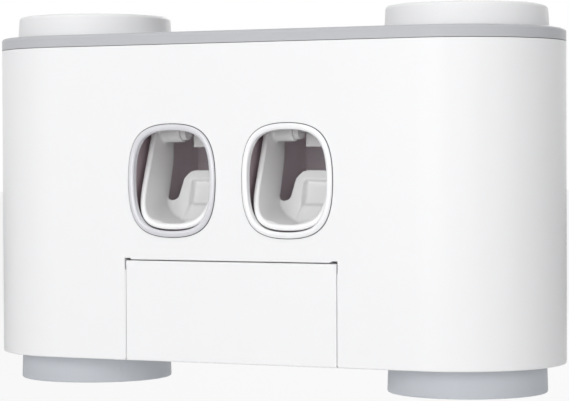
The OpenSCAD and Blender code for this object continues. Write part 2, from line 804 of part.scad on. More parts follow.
// Point of the return spring's skin: corner j of ring i along one unbroken helix
spring_ring_n = 8;
spring_sides = 6;
spring_slack = 0.04;
spring_low = spring_z + spring_wire + spring_slack;
spring_high = cap_z - spring_wire - spring_slack;
function coil_point(i, j) = let (
  a = 360 * i / spring_ring_n,
  b = 360 * j / spring_sides,
  r = spring_r + spring_wire * cos(b),
  climb = (spring_high - spring_low) * i / (spring_turns * spring_ring_n)
) [r * cos(a), r * sin(a), spring_low + climb + spring_wire * sin(b)];

// Return spring between the piston and the cap
module return_spring() color("silver") translate([0, pump_y, 0]) {
  n = spring_sides;
  rings = spring_turns * spring_ring_n;
  points = [for (i = [0:rings]) for (j = [0:n - 1]) coil_point(i, j)];
  skin = [for (i = [0:rings - 1]) for (j = [0:n - 1]) let (p = i * n + j, q = i * n + (j + 1) % n)
    each [[p, q, p + n], [q, q + n, p + n]]];
  start = [for (j = [1:n - 2]) [0, j + 1, j]];
  finish = [for (j = [1:n - 2]) [rings * n, rings * n + j, rings * n + j + 1]];
  polyhedron(points, concat(skin, start, finish));
  echo("gap between turns", (spring_high - spring_low) / spring_turns - 2 * spring_wire);
}

// Well for an upper and a lower cup, with the floor between them
module cup_sleeve() color("whitesmoke") difference() {
  bar_z(well_r + well_t, base_top, plate_z - 0.1);
  bar_z(well_r, well_floor_z + well_floor_t, plate_z + over);
  difference() {
    bar_z(well_r, base_top - over, well_floor_z);
    bar_z(magnet_r + 3, cup_base_z + magnet_gap, well_floor_z + over);
  }
  bar_z(magnet_r + 0.1, cup_base_z, cup_base_z + magnet_gap + 0.3 + magnet_t);
}

// Magnet in the floor of a well
module cup_magnet() color("dimgray") translate([0, 0, cup_base_z + magnet_gap + 0.2]) bar_z(magnet_r, 0, magnet_t);

// Half section of a cup that stands on its base
module cup_section(rim) {
  foot = rim - cup_taper;
  foot_r = 3;
  floor_t = 2.4;
  lip = cup_t / 2;
  difference() {
    union() {
      polygon([[0, 0], [foot - foot_r, 0], [foot - foot_r, foot_r], [foot, foot_r], [rim, cup_h - lip],
        [0, cup_h - lip]]);
      translate([foot - foot_r, foot_r]) circle(foot_r);
    }
    polygon([[-over, floor_t], [foot - foot_r - cup_t, floor_t], [foot - cup_t, floor_t + foot_r],
      [rim - cup_t, cup_h - lip], [rim - cup_t, cup_h + over], [-over, cup_h + over]]);
  }
  translate([rim - lip, cup_h - lip]) circle(lip);
}

// Cup that stands on its base, with a shallow seat for a disc below
module cup(rim) difference() {
  rotate_extrude($fn = 144) intersection() {
    cup_section(rim);
    square([rim + 1, cup_h + 1]);
  }
  bar_z(disc_r + 0.05, -over, disc_t + 0.1);
}

module upper_cup() color("white") translate([0, 0, well_floor_z + well_floor_t + 0.3]) cup(upper_rim_r);

module lower_cup() color("lightslategray") translate([0, 0, cup_base_z]) mirror([0, 0, 1]) cup(lower_rim_r);

// Steel disc in the base of a lower cup
module cup_disc() color("silver") bar_z(disc_r, cup_base_z - disc_t - 0.05, cup_base_z - 0.05);

// Lid that pushes over the rim of an upper cup
module cup_lid() color("white") translate([0, 0, lid_z]) rotate_extrude($fn = 144) {
  edge = 2;
  draft = 0.6;
  skin = 1.6;
  bore = upper_rim_r + 0.15;
  difference() {
    intersection() {
      union() {
        polygon([[0, 0], [lid_r, 0], [lid_r - draft, lid_h - edge], [0, lid_h - edge]]);
        square([lid_r - draft - edge, lid_h]);
        translate([lid_r - draft - edge, lid_h - edge]) circle(edge);
      }
      square([lid_r + over, lid_h]);
    }
    translate([-over, -over]) square([bore + over, lid_h - skin + over]);
  }
}

// Flap: flush panel with end knuckles on its hinge line and ribs behind it
module front_flap() color("white") in_place() difference() {
  edge = 0.8;
  knuckle_l = 8;
  knuckle_r = 1.95;
  rib = 0.9;
  rib_t = 1.2;
  ribs_z = [6, 24, 40.8];
  side_clear = 8;
  side_r = 0.5;
  half = flap_w / 2;
  union() {
    intersection() {
      along_x(-half, half) {
        translate([front, edge]) square([flap_t, flap_h - 2 * edge]);
        translate([front + edge, 0]) square([flap_t - edge, flap_h]);
        for (z = [edge, flap_h - edge]) translate([front + edge, z]) circle(edge);
      }
      translate([0, 0, -over]) linear_extrude(flap_h + 2 * over) {
        translate([-half, front + side_r]) square([2 * half, flap_t]);
        translate([side_r - half, front]) square([2 * (half - side_r), flap_t]);
        for (x = [-1, 1]) translate([x * (half - side_r), front + side_r]) circle(side_r);
      }
    }
    both() translate([0, hinge_y, hinge_z]) bar_x(knuckle_r, half - knuckle_l, half);
    for (x = [-1, 0, 1]) translate([x * half / 2 - rib_t / 2, front + flap_t - over, ribs_z[0]])
      cube([rib_t, rib + over, ribs_z[2] + rib_t - ribs_z[0]]);
    for (z = ribs_z) translate([side_clear - half, front + flap_t - over, z])
      cube([2 * (half - side_clear), rib + over, rib_t]);
  }
  both() translate([0, hinge_y, hinge_z]) bar_x(hinge_pin_r + 0.01, half - hinge_pin_in - 0.1, half + over);
}

// Hinge pins of the flap, pressed into its ends
module flap_pins() color("silver") in_place() both() translate([flap_w / 2 - hinge_pin_in, hinge_y, hinge_z])
  bar_x(hinge_pin_r, 0, hinge_pin_l);

// Toothbrush rack: an open box behind the flap, whose floor has a slot for each handle
module brush_rack() color("whitesmoke") in_place() difference() {
  half = 58;
  y0 = front + 4.7;
  depth = 39.3;
  h = 51.4;
  t = 1.6;
  floor_t = 2.5;
  slot_l = 33;
  flare = [2.4, 6];
  translate([-half, y0, base_top]) cube([2 * half, depth, h]);
  translate([t - half, y0 - over, base_top + floor_t])
    cube([2 * (half - t), depth - t + over, h - floor_t - t]);
  for (i = [-1.5:1:1.5]) translate([i * slot_pitch, y0 + slot_l - slot_w / 2, base_top - over])
    linear_extrude(floor_t + 2 * over) {
      circle(slot_w / 2);
      translate([-slot_w / 2, -slot_l]) square([slot_w, slot_l]);
      translate([0, slot_w / 2 - slot_l]) polygon([[-slot_w / 2, 0], [-slot_w / 2 - flare[0], -flare[1]],
        [slot_w / 2 + flare[0], -flare[1]], [slot_w / 2, 0]]);
    }
}

// Wall bracket: plate with four screw holes and two upturned hooks
module wall_bracket() color("whitesmoke") in_place() translate([0, bracket_y, mount_z]) difference() {
  reach = 5.2;
  lip_t = 2.4;
  lip_top = hook_lip - hook_stem - lip_t / 2;
  corner = 3;
  union() {
    along_y(0, bracket_t) rounded(bracket_w, bracket_h, corner);
    for (x = [-hook_x, hook_x]) along_x(x - hook_w / 2, x + hook_w / 2) {
      translate([-reach, -hook_stem]) square([reach + 0.2, hook_stem]);
      translate([-reach, -hook_stem]) square([lip_t, lip_top + hook_stem]);
      translate([lip_t / 2 - reach, lip_top]) circle(lip_t / 2);
    }
  }
  for (x = [-bolt_x, bolt_x]) for (z = [-bolt_z, bolt_z])
    translate([x, 0, z]) bar_y(bolt_r, -over, bracket_t + over);
}

// Adhesive pad behind the bracket
module bracket_pad() color("lightgray") in_place() translate([0, bracket_y + bracket_t, mount_z])
  along_y(0, back + wall_gap - bracket_y - bracket_t) difference() {
    inset = 2;
    rounded(bracket_w - 2 * inset, bracket_h - 2 * inset, 3);
    for (x = [-bolt_x, bolt_x]) for (z = [-bolt_z, bolt_z]) translate([x, z]) circle(bolt_r + 0.8);
  }

outer_shell();
top_plate();
base_plate();
base_screws();
back_panel();
back_panel_screws();
at_window(left) window_trim();  // left_window_trim
at_window(right) window_trim();  // right_window_trim
at_window(left) squeezer_frame();  // left_squeezer_frame
at_window(right) squeezer_frame();  // right_squeezer_frame
at_window(left) frame_screws();  // left_frame_screws
at_window(right) frame_screws();  // right_frame_screws
at_window(left) squeeze_lever();  // left_squeeze_lever
at_window(right) squeeze_lever();  // right_squeeze_lever
at_window(left) pivot_pin();  // left_pivot_pin
at_window(right) pivot_pin();  // right_pivot_pin
at_window(left) pump_body();  // left_pump_body
at_window(right) pump_body();  // right_pump_body
at_window(left) pump_screws();  // left_pump_screws
at_window(right) pump_screws();  // right_pump_screws
at_window(left) pump_cap();  // left_pump_cap
at_window(right) pump_cap();  // right_pump_cap
at_window(left) tube_seal();  // left_tube_seal
at_window(right) tube_seal();  // right_tube_seal
at_window(left) inlet_valve();  // left_inlet_valve
at_window(right) inlet_valve();  // right_inlet_valve
at_window(left) outlet_valve();  // left_outlet_valve
at_window(right) outlet_valve();  // right_outlet_valve
at_window(left) piston();  // left_piston
at_window(right) piston();  // right_piston
at_window(left) piston_seal();  // left_piston_seal
at_window(right) piston_seal();  // right_piston_seal
at_window(left) return_spring();  // left_return_spring
at_window(right) return_spring();  // right_return_spring
at_cup(left) cup_sleeve();  // left_cup_sleeve
at_cup(right) cup_sleeve();  // right_cup_sleeve
at_cup(left) cup_magnet();  // left_cup_magnet
at_cup(right) cup_magnet();  // right_cup_magnet
at_cup(left) upper_cup();  // left_upper_cup
at_cup(right) upper_cup();  // right_upper_cup
at_cup(left) cup_lid();  // left_cup_lid
at_cup(right) cup_lid();  // right_cup_lid
at_cup(left) lower_cup();  // left_lower_cup
at_cup(right) lower_cup();  // right_lower_cup
at_cup(left) cup_disc();  // left_cup_disc
at_cup(right) cup_disc();  // right_cup_disc
front_flap();
flap_pins();
brush_rack();
wall_bracket();
bracket_pad();
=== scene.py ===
"""Looks, light and camera for a wall-hung toothpaste dispenser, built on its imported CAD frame."""

import logging
import math
from dataclasses import dataclass, field
from enum import Enum
from typing import Any, Sequence

import bpy
import numpy as np
from mathutils import Matrix, Vector


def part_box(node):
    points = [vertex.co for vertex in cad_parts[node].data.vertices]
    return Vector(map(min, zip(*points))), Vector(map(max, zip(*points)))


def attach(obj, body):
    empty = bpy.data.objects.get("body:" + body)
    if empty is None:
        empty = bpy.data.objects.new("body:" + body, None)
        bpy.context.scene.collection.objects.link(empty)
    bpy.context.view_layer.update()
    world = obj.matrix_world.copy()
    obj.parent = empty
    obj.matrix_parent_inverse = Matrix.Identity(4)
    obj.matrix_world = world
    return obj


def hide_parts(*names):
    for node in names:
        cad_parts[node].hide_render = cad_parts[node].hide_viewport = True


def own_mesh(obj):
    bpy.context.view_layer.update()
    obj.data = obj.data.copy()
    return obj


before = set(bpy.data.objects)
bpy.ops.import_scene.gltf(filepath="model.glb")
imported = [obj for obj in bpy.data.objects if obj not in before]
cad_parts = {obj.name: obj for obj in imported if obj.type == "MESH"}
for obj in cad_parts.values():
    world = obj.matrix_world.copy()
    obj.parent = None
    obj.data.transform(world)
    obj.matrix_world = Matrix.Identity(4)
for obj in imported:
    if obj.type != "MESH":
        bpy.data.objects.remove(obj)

LOG = logging.getLogger("dispenser")
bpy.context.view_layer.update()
MM = 0.001
PLASTIC_IOR = 1.49
EDGE_ANGLE = math.radians(40.0)
WIRE_ANGLE = math.radians(50.0)

Colour = tuple[float, float, float]


class Side(Enum):
    """The two mirrored halves of the dispenser, by the sign of X."""

    LEFT = -1
    RIGHT = 1

    def node(self, name: str) -> str:
        """Name of this side's CAD node or body."""
        return f"{self.name.lower()}_{name}"


class Wire:
    """A shader socket, or a number, that adds Math nodes when it is used in an expression."""

    def __init__(self, tree: bpy.types.NodeTree, value: Any) -> None:
        """Wraps a socket.

        Args:
            tree: node tree that new nodes go into.
            value: output socket or number.
        """
        self.tree = tree
        self.value = value

    def _math(self, operation: str, first: Any, second: Any) -> "Wire":
        """Adds one Math node.

        Args:
            operation: name of the Math operation.
            first: left operand.
            second: right operand.

        Returns:
            The node's result.
        """
        node = self.tree.nodes.new("ShaderNodeMath")
        node.operation = operation
        for socket, operand in zip(node.inputs, (first, second)):
            plug(self.tree, socket, operand)
        return Wire(self.tree, node.outputs[0])

    def __add__(self, other: Any) -> "Wire":
        """Sum."""
        return self._math("ADD", self, other)

    def __radd__(self, other: Any) -> "Wire":
        """Sum with a number on the left."""
        return self._math("ADD", other, self)

    def __sub__(self, other: Any) -> "Wire":
        """Difference."""
        return self._math("SUBTRACT", self, other)

    def __rsub__(self, other: Any) -> "Wire":
        """Difference from a number on the left."""
        return self._math("SUBTRACT", other, self)

    def __mul__(self, other: Any) -> "Wire":
        """Product."""
        return self._math("MULTIPLY", self, other)

    def __rmul__(self, other: Any) -> "Wire":
        """Product with a number on the left."""
        return self._math("MULTIPLY", other, self)

    def power(self, exponent: float) -> "Wire":
        """Power."""
        return self._math("POWER", self, exponent)

    def clamp(self) -> "Wire":
        """The value kept between 0 and 1."""
        result = self._math("ADD", self, 0.0)
        result.value.node.use_clamp = True
        return result


def plug(tree: bpy.types.NodeTree, socket: bpy.types.NodeSocket, value: Any) -> None:
    """Sets or links one input.

    Args:
        tree: tree that holds the socket.
        socket: input to fill.
        value: number, colour, vector, output socket or Wire.
    """
    if isinstance(value, Wire):
        value = value.value
    if isinstance(value, bpy.types.NodeSocket):
        tree.links.new(value, socket)
        return
    if isinstance(value, (tuple, list)) and socket.type == "RGBA" and len(value) == 3:
        value = (*value, 1.0)
    socket.default_value = value


class Shader:
    """A material's node tree with a Principled shader and its surface coordinates."""

    def __init__(self, name: str) -> None:
        """Makes an empty material.

        Args:
            name: material name.
        """
        self.material = bpy.data.materials.new(name)
        self.material.use_nodes = True
        self.tree = self.material.node_tree
        self.tree.nodes.clear()
        self.output = self.tree.nodes.new("ShaderNodeOutputMaterial")
        self.bsdf = self.tree.nodes.new("ShaderNodeBsdfPrincipled")
        self.tree.links.new(self.bsdf.outputs[0], self.output.inputs[0])
        self.coords = self.tree.nodes.new("ShaderNodeTexCoord").outputs["Object"]

    def add(
        self, kind: str, settings: dict[str, Any] | None = None, out: int | str = 0, **inputs: Any
    ) -> Wire:
        """Adds a node.

        Args:
            kind: node type without its ShaderNode prefix.
            settings: attributes that are set first.
            out: output that is returned.
            **inputs: values or links of sockets, by name with underscores for spaces.

        Returns:
            The chosen output.
        """
        node = self.tree.nodes.new("ShaderNode" + kind)
        for name, value in (settings or {}).items():
            setattr(node, name, value)
        for name, value in inputs.items():
            plug(self.tree, node.inputs[name.replace("_", " ")], value)
        return Wire(self.tree, node.outputs[out])

    def scaled(self, x: float, y: float, z: float) -> Wire:
        """Object coordinates stretched along each axis."""
        return self.add("Mapping", Vector=self.coords, Scale=(x, y, z))

    def noise(self, scale: float, detail: float = 2.0, roughness: float = 0.5, coords: Any = None) -> Wire:
        """Noise over the surface.

        Args:
            scale: cells per metre.
            detail: octaves.
            roughness: strength of the finer octaves.
            coords: coordinates in place of the object's own.

        Returns:
            Noise from 0 to 1.
        """
        place = coords or self.coords
        return self.add("TexNoise", Vector=place, Scale=scale, Detail=detail, Roughness=roughness)

    def tint(self, low: Colour, high: Colour, amount: Any) -> Wire:
        """Colour between two colours."""
        return self.add("Mix", {"data_type": "RGBA"}, "Result", Factor=amount, A=low, B=high)

    def bump(self, height: Any, distance: float) -> None:
        """Feeds a height in metres times distance to the shader's normal."""
        normal = self.add("Bump", Strength=1.0, Distance=distance, Height=height)
        plug(self.tree, self.bsdf.inputs["Normal"], normal)

    def set(self, **inputs: Any) -> None:
        """Sets or links inputs of the Principled shader, by name with underscores for spaces."""
        for name, value in inputs.items():
            plug(self.tree, self.bsdf.inputs[name.replace("_", " ")], value)


@dataclass(frozen=True)
class Moulded:
    """Injection-moulded plastic: even colour, faint flow mottling, orange peel and handling haze."""

    name: str
    colour: Colour
    roughness: float = 0.3
    coat: float = 0.0
    coat_roughness: float = 0.08
    mottle: float = 0.012
    haze: float = 0.05
    peel: float = 0.6
    peel_scale: float = 420.0
    grain: float = 0.0
    specular: float = 0.2

    def build(self) -> bpy.types.Material:
        """Makes the material.

        Returns:
            The finished material.
        """
        s = Shader(self.name)
        flow = s.noise(14.0, detail=3.0, roughness=0.55, coords=s.scaled(1.0, 1.0, 0.35))
        dust = s.noise(900.0, detail=2.0, roughness=0.6)
        low = tuple(c * (1 - self.mottle) for c in self.colour)
        high = tuple(min(1.0, c * (1 + self.mottle)) for c in self.colour)
        s.set(Base_Color=s.tint(low, high, (flow * 0.75 + dust * 0.25)))
        rub = s.noise(55.0, detail=4.0, roughness=0.6)
        s.set(Roughness=(self.roughness + (rub - 0.5) * self.haze).clamp())
        peel = s.noise(self.peel_scale, detail=2.0, roughness=0.45)
        height = peel * self.peel
        if self.grain > 0:
            height = height + s.noise(2600.0, detail=3.0, roughness=0.6) * self.grain
        s.bump(height, distance=0.00002)
        s.set(IOR=PLASTIC_IOR, Specular_IOR_Level=self.specular)
        s.set(Coat_Weight=self.coat, Coat_Roughness=self.coat_roughness)
        return s.material


@dataclass(frozen=True)
class PaintedShadeLining:
    """Plastic of an inner chamber with painted shade: dark at its mouth and paling to its rear, with flow
    marks along its draw.
    """

    name: str
    shaded_mouth: Colour
    rear: Colour
    span: tuple[float, float] = (-0.104, -0.045)
    roughness: float = 0.45

    def build(self) -> bpy.types.Material:
        """Makes the material.

        Returns:
            The finished material.
        """
        s = Shader(self.name)
        place = s.add("SeparateXYZ", out="Y", Vector=s.coords)
        flow = s.noise(26.0, detail=3.0, roughness=0.6, coords=s.scaled(1.0, 0.25, 1.0))
        low, high = self.span
        # Painted shade: the colour darkens from the pale rear towards the dark mouth.
        depth = (place - low) * (1.0 / (high - low)) + (flow - 0.5) * 0.16
        s.set(Base_Color=s.tint(self.shaded_mouth, self.rear, depth.clamp()))
        s.set(Roughness=(self.roughness + (flow - 0.5) * 0.12).clamp())
        s.set(IOR=PLASTIC_IOR, Specular_IOR_Level=0.35)
        s.bump(s.noise(900.0, detail=3.0, roughness=0.55), distance=0.00003)
        return s.material


@dataclass(frozen=True)
class Elastomer:
    """Soft silicone: matt, slightly dusty, with a fine ground texture."""

    name: str
    colour: Colour
    roughness: float = 0.6

    def build(self) -> bpy.types.Material:
        """Makes the material.

        Returns:
            The finished material.
        """
        s = Shader(self.name)
        dust = s.noise(1500.0, detail=3.0, roughness=0.6)
        high = tuple(min(1.0, c * 1.25) for c in self.colour)
        s.set(Base_Color=s.tint(self.colour, high, dust.power(2.0)))
        s.set(Roughness=(self.roughness + (s.noise(300.0) - 0.5) * 0.15).clamp())
        s.bump(s.noise(3000.0), distance=0.00003)
        return s.material


@dataclass(frozen=True)
class Steel:
    """Plated or turned steel with lines from its working."""

    name: str
    colour: Colour
    roughness: float = 0.28
    stretch: tuple[float, float, float] = (1.0, 1.0, 30.0)

    def build(self) -> bpy.types.Material:
        """Makes the material.

        Returns:
            The finished material.
        """
        s = Shader(self.name)
        lines = s.noise(600.0, detail=3.0, roughness=0.6, coords=s.scaled(*self.stretch))
        low = tuple(c * 0.88 for c in self.colour)
        s.set(Base_Color=s.tint(low, self.colour, lines), Metallic=1.0)
        s.set(Roughness=(self.roughness + (lines - 0.5) * 0.18).clamp())
        s.bump(lines, distance=0.00001)
        return s.material


@dataclass(frozen=True)
class Foam:
    """Closed-cell foam tape with open cells on its cut edge."""

    name: str
    colour: Colour

    def build(self) -> bpy.types.Material:
        """Makes the material.

        Returns:
            The finished material.
        """
        s = Shader(self.name)
        cells = s.add("TexVoronoi", Vector=s.coords, Scale=2600.0)
        low = tuple(c * 0.8 for c in self.colour)
        s.set(Base_Color=s.tint(low, self.colour, (cells * 1.6).clamp()), Roughness=0.85)
        s.bump(cells, distance=0.0001)
        return s.material


SHELL_WHITE = Moulded(
    "shell_white", (0.87, 0.87, 0.875), roughness=0.28, coat=0.05, mottle=0.006, haze=0.02
)
FLAP_WHITE = Moulded(
    "flap_white", (0.875, 0.875, 0.88), roughness=0.28, coat=0.05, mottle=0.006, haze=0.02
)
LID_WHITE = Moulded("lid_white", (0.84, 0.84, 0.845), roughness=0.36)
CUP_WHITE = Moulded("cup_white", (0.86, 0.86, 0.885), roughness=0.34)
CUP_GREY = Moulded("cup_grey", (0.55, 0.575, 0.61), roughness=0.36, mottle=0.015)
PLATE_GREY = Moulded("plate_grey", (0.50, 0.505, 0.525), roughness=0.34, mottle=0.015)
RING_WHITE = Moulded(
    "ring_white", (0.88, 0.88, 0.89), 0.12, coat=0.8, coat_roughness=0.03, peel=0.2, specular=0.5
)
# The left ring's grey is painted shade: the same glossy ring as RING_WHITE, darkened.
RING_GREY_PAINTED_SHADE = Moulded(
    "ring_grey", (0.66, 0.66, 0.69), 0.12, coat=0.8, coat_roughness=0.03, peel=0.2, specular=0.5
)
LEVER_WHITE = Moulded("lever_white", (0.94, 0.94, 0.94), roughness=0.3, coat=0.15)
# Chamber lining: its darkening towards the mouth is painted shade.
CHAMBER_MAUVE_PAINTED_SHADE = PaintedShadeLining("chamber_mauve", (0.40, 0.31, 0.34), (0.92, 0.83, 0.87))
INNER_WHITE = Moulded("inner_white", (0.80, 0.80, 0.81), roughness=0.5, grain=0.8, mottle=0.02)
PUMP_WHITE = Moulded("pump_white", (0.84, 0.83, 0.83), roughness=0.4, mottle=0.02)
SILICONE = Elastomer("silicone_grey", (0.26, 0.26, 0.27))
# Dark strip laid in the gap round each ring: a painted shadow line.
RING_SHADOW_LINE = Elastomer("gasket_grey", (0.11, 0.105, 0.115))
SCREW_STEEL = Steel("screw_steel", (0.66, 0.66, 0.67))
SPRING_STEEL = Steel("spring_steel", (0.62, 0.62, 0.62), roughness=0.2)
DISC_STEEL = Steel("disc_steel", (0.68, 0.68, 0.69), roughness=0.3, stretch=(1.0, 30.0, 1.0))
MAGNET_PLATE = Steel("magnet_plate", (0.58, 0.58, 0.60), roughness=0.22)
TAPE_FOAM = Foam("tape_foam", (0.74, 0.74, 0.72))


Finish = Moulded | PaintedShadeLining | Elastomer | Steel | Foam


def world_point(x: float, y: float, z: float) -> Vector:
    """Point in metres from millimetres."""
    return Vector((x * MM, y * MM, z * MM))


def pick(*objects: bpy.types.Object) -> None:
    """Selects only these objects and makes the first one active."""
    bpy.ops.object.select_all(action="DESELECT")
    for obj in objects:
        obj.select_set(True)
    bpy.context.view_layer.objects.active = objects[0]


def settle(obj: bpy.types.Object) -> None:
    """Puts a finished object's place and turn into its mesh."""
    pick(obj)
    bpy.ops.object.transform_apply(location=True, rotation=True, scale=True)


def recalculate(obj: bpy.types.Object) -> None:
    """Merges doubles and turns the faces of a closed mesh outwards."""
    pick(obj)
    bpy.ops.object.mode_set(mode="EDIT")
    bpy.ops.mesh.select_all(action="SELECT")
    bpy.ops.mesh.remove_doubles(threshold=1e-6)
    bpy.ops.mesh.normals_make_consistent(inside=False)
    bpy.ops.object.mode_set(mode="OBJECT")


def copy_node(node: str, name: str) -> bpy.types.Object:
    """Copies a CAD node's mesh to a new object.

    Args:
        node: name of the CAD node.
        name: object name.

    Returns:
        The object, with doubles merged and faces outwards.
    """
    obj = bpy.data.objects.new(name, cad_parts[node].data.copy())
    bpy.context.scene.collection.objects.link(obj)
    recalculate(obj)
    return obj


@dataclass(frozen=True)
class Squircle:
    """Bowed outline of a window, drawn with long Bezier handles, in millimetres."""

    half_width: float
    half_height: float
    handle: float = 0.75

    def curve(self, name: str, steps: int = 20) -> bpy.types.Object:
        """Draws the outline on the XY plane.

        Args:
            name: object name.
            steps: segments of each quarter.

        Returns:
            A flat closed curve object.
        """
        bpy.ops.object.select_all(action="DESELECT")
        bpy.ops.curve.primitive_bezier_circle_add(radius=1.0, location=(0.0, 0.0, 0.0))
        obj = bpy.context.active_object
        obj.name = name
        data = obj.data
        data.dimensions = "2D"
        data.fill_mode = "NONE"
        data.resolution_u = steps
        scale = Vector((self.half_width * MM, self.half_height * MM, 1.0))
        points = data.splines[0].bezier_points
        for point in points:
            point.handle_left_type = point.handle_right_type = "FREE"
        for point in points:
            at = point.co.copy()
            left, right = ((arm - at).normalized() for arm in (point.handle_left, point.handle_right))
            point.co = at * scale
            point.handle_left = (at + left * self.handle) * scale
            point.handle_right = (at + right * self.handle) * scale
        return obj


def section_curve(name: str, points: Sequence[tuple[float, float]]) -> bpy.types.Object:
    """Draws a closed section for a sweep.

    Args:
        name: object name.
        points: corners in millimetres; X runs inwards from the path and Y stands out of its plane.

    Returns:
        A flat closed curve object.
    """
    data = bpy.data.curves.new(name, "CURVE")
    data.dimensions = "2D"
    spline = data.splines.new("POLY")
    spline.points.add(len(points) - 1)
    for point, (x, y) in zip(spline.points, points):
        point.co = (x * MM, y * MM, 0.0, 1.0)
    spline.use_cyclic_u = True
    obj = bpy.data.objects.new(name, data)
    bpy.context.scene.collection.objects.link(obj)
    return obj


def sweep(path: bpy.types.Object, section: bpy.types.Object) -> bpy.types.Object:
    """Sweeps a section along a curve and makes the result a mesh.

    Args:
        path: flat curve object.
        section: section curve, removed afterwards.

    Returns:
        The path's object, now a closed mesh.
    """
    path.data.bevel_mode = "OBJECT"
    path.data.bevel_object = section
    pick(path)
    bpy.ops.object.convert(target="MESH")
    bpy.data.objects.remove(section)
    recalculate(path)
    return path


@dataclass
class Palette:
    """Materials made once and shared by the pieces."""

    made: dict[str, bpy.types.Material] = field(default_factory=dict)

    def get(self, finish: Finish) -> bpy.types.Material:
        """The material of a finish, built the first time it is asked for."""
        if finish.name not in self.made:
            self.made[finish.name] = finish.build()
        return self.made[finish.name]

    def dress(self, finish: Finish, *nodes: str) -> None:
        """Gives CAD nodes a finish.

        Args:
            finish: the finish.
            *nodes: names of CAD nodes.
        """
        for name in nodes:
            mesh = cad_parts[name].data
            mesh.materials.clear()
            mesh.materials.append(self.get(finish))
            LOG.info("%s: %s", name, finish.name)


@dataclass
class Housing:
    """The fixed body: shell, plates, back cover, wells and brush rack."""

    palette: Palette

    def dress(self) -> None:
        """Gives the fixed nodes their finishes."""
        p = self.palette
        p.dress(SHELL_WHITE, "outer_shell")
        p.dress(PLATE_GREY, "top_plate")
        p.dress(INNER_WHITE, "base_plate", "back_panel", "brush_rack")
        p.dress(INNER_WHITE, "left_cup_sleeve", "right_cup_sleeve")
        p.dress(SCREW_STEEL, "base_screws", "back_panel_screws")
        p.dress(MAGNET_PLATE, "left_cup_magnet", "right_cup_magnet")


@dataclass
class WallMount:
    """Bracket and adhesive pad that stay on the wall."""

    palette: Palette

    def dress(self) -> None:
        """Gives the wall nodes their finishes."""
        self.palette.dress(INNER_WHITE, "wall_bracket")
        self.palette.dress(TAPE_FOAM, "bracket_pad")


@dataclass
class Flap:
    """The panel over the brush rack, its pins and the stop strips in its gap, in millimetres."""

    palette: Palette
    face: float = -109.0
    foot: float = -100.0
    side_x: tuple[float, float] = (58.5, 59.1)
    side_z: tuple[float, float] = (1.0, 46.0)
    side_depth: tuple[float, float] = (0.35, 2.3)
    top_x: float = 54.5
    top_z: tuple[float, float] = (51.25, 51.7)
    top_depth: tuple[float, float] = (0.35, 0.8)
    edge: float = 0.1

    def strip(
        self, x: tuple[float, float], depth: tuple[float, float], z: tuple[float, float]
    ) -> bpy.types.Object:
        """Makes one strip with broken edges between two corners.

        Args:
            x: ends along X.
            depth: ends behind the front face.
            z: ends above the body's foot.

        Returns:
            The strip's mesh object.
        """
        low = world_point(x[0], self.face + depth[0], self.foot + z[0])
        high = world_point(x[1], self.face + depth[1], self.foot + z[1])
        bpy.ops.object.select_all(action="DESELECT")
        bpy.ops.mesh.primitive_cube_add(size=1.0, location=(low + high) / 2, scale=high - low)
        obj = bpy.context.active_object
        settle(obj)
        bpy.ops.object.mode_set(mode="EDIT")
        bpy.ops.mesh.select_all(action="SELECT")
        bpy.ops.mesh.bevel(offset=self.edge * MM, segments=3)
        bpy.ops.object.mode_set(mode="OBJECT")
        return obj

    def build(self) -> None:
        """Makes the strips along the top and both sides of the opening."""
        strips = [self.strip((-self.top_x, self.top_x), self.top_depth, self.top_z)]
        for side in Side:
            x = sorted(side.value * edge for edge in self.side_x)
            strips.append(self.strip((x[0], x[1]), self.side_depth, self.side_z))
        pick(*strips)
        bpy.ops.object.join()
        obj = bpy.context.active_object
        obj.name = "flap_stop"
        bpy.ops.object.shade_smooth_by_angle(angle=EDGE_ANGLE)
        obj.data.materials.append(self.palette.get(SHELL_WHITE))
        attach(obj, "housing")
        LOG.info("%s: %d faces", obj.name, len(obj.data.polygons))

    def dress(self) -> None:
        """Gives the flap its finishes and builds its stop."""
        self.build()
        self.palette.dress(FLAP_WHITE, "front_flap")
        self.palette.dress(SCREW_STEEL, "flap_pins")


